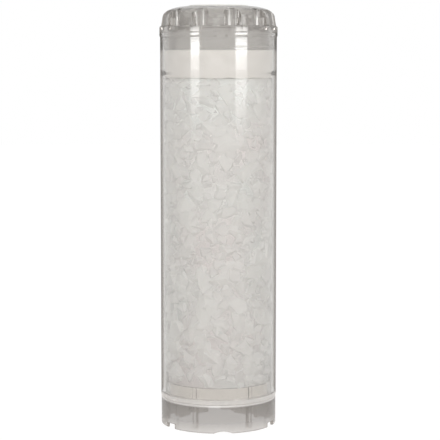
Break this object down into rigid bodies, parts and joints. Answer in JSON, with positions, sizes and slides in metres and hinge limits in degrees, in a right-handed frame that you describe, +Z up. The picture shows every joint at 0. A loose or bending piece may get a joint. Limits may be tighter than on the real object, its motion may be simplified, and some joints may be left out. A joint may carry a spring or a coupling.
{
  "type": "anti-scale filter cartridge",
  "caption": "Clear refillable water filter cartridge: a tube of anti-scale crystals between felt pads, on a slotted base, closed by a lobed screw cap with an outlet bore.",
  "frame": {"origin": "middle of the base rim, on the surface that the cartridge stands on", "axes": "+Z up along the tube to the screw cap; -Y is the front that the picture shows, +X to its right"},
  "size_m": [0.0694, 0.0694, 0.248],
  "materials": {
    "clear_plastic": "clear moulded",
    "felt": "white needled felt",
    "crystal": "crushed, translucent white",
    "silicone": "milky, soft"
  },
  "bodies": {
    "cartridge": {"base": "clear_plastic", "tube": "clear_plastic", "inlet_pad": "felt", "crystal_bed": "crystal", "outlet_pad": "felt"},
    "washer": {"seal_washer": "silicone"},
    "cap": {"screw_cap": "clear_plastic"}
  },
  "joints": [
    {"name": "cap_rise", "type": "slide", "parent": "cartridge", "child": "washer", "axis": [0, 0, 1], "range_m": [0, 0.01]},
    {"name": "cap_turn", "type": "hinge", "parent": "washer", "child": "cap", "pos_m": [0, 0, 0.2475], "axis": [0, 0, 1], "range_deg": [0, 722]}
  ],
  "couplings": [
    {"joint": "cap_turn", "follows": "cap_rise", "rad_per_m": 1256.6}
  ]
}
